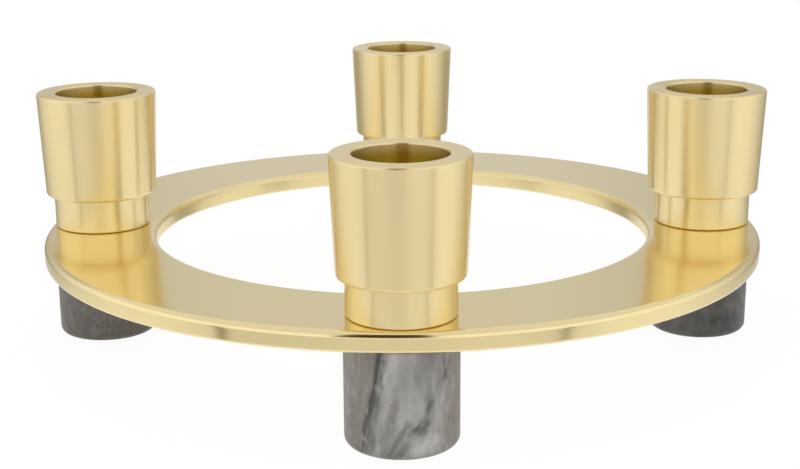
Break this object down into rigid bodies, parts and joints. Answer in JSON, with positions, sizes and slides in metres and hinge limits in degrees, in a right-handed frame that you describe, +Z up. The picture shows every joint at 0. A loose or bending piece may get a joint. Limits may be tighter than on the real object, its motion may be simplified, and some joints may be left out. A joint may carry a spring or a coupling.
{
  "type": "advent candle holder",
  "caption": "Flat brass ring on turned marble feet, with a stepped, tapered brass candle cup screwed on over each foot.",
  "frame": {"origin": "on the table, at the centre of the ring", "axes": "+Z up, +X to the right-hand cup and -Y to the front cup as the picture shows them"},
  "size_m": [0.204, 0.204, 0.0703],
  "materials": {
    "satin_brass": "satin, turned",
    "grey_marble": "honed, veined",
    "zinc_steel": "zinc plated",
    "felt": "pressed felt"
  },
  "bodies": {
    "frame": {"ring_plate": "satin_brass", "marble_foot_front": "grey_marble", "marble_foot_right": "grey_marble", "marble_foot_back": "grey_marble", "marble_foot_left": "grey_marble", "screw_washer_front": "zinc_steel", "screw_washer_right": "zinc_steel", "screw_washer_back": "zinc_steel", "screw_washer_left": "zinc_steel", "felt_pad_front": "felt", "felt_pad_right": "felt", "felt_pad_back": "felt", "felt_pad_left": "felt"},
    "screw_front": {"tie_screw_front": "zinc_steel"},
    "cup_front": {"candle_cup_front": "satin_brass"},
    "screw_right": {"tie_screw_right": "zinc_steel"},
    "cup_right": {"candle_cup_right": "satin_brass"},
    "screw_back": {"tie_screw_back": "zinc_steel"},
    "cup_back": {"candle_cup_back": "satin_brass"},
    "screw_left": {"tie_screw_left": "zinc_steel"},
    "cup_left": {"candle_cup_left": "satin_brass"}
  },
  "joints": [
    {"name": "front_screw_turn", "type": "hinge", "parent": "frame", "child": "screw_front", "pos_m": [0, -0.0855, 0], "axis": [0, 0, -1], "range_deg": [0, 3960]},
    {"name": "front_cup_rise", "type": "slide", "parent": "frame", "child": "cup_front", "axis": [0, 0, 1], "range_m": [0, 0.011]},
    {"name": "right_screw_turn", "type": "hinge", "parent": "frame", "child": "screw_right", "pos_m": [0.0855, 0, 0], "axis": [0, 0, -1], "range_deg": [0, 3960]},
    {"name": "right_cup_rise", "type": "slide", "parent": "frame", "child": "cup_right", "axis": [0, 0, 1], "range_m": [0, 0.011]},
    {"name": "back_screw_turn", "type": "hinge", "parent": "frame", "child": "screw_back", "pos_m": [0, 0.0855, 0], "axis": [0, 0, -1], "range_deg": [0, 3960]},
    {"name": "back_cup_rise", "type": "slide", "parent": "frame", "child": "cup_back", "axis": [0, 0, 1], "range_m": [0, 0.011]},
    {"name": "left_screw_turn", "type": "hinge", "parent": "frame", "child": "screw_left", "pos_m": [-0.0855, 0, 0], "axis": [0, 0, -1], "range_deg": [0, 3960]},
    {"name": "left_cup_rise", "type": "slide", "parent": "frame", "child": "cup_left", "axis": [0, 0, 1], "range_m": [0, 0.011]}
  ],
  "couplings": [
    {"joint": "front_screw_turn", "follows": "front_cup_rise", "rad_per_m": 6283.2},
    {"joint": "right_screw_turn", "follows": "right_cup_rise", "rad_per_m": 6283.2},
    {"joint": "back_screw_turn", "follows": "back_cup_rise", "rad_per_m": 6283.2},
    {"joint": "left_screw_turn", "follows": "left_cup_rise", "rad_per_m": 6283.2}
  ]
}
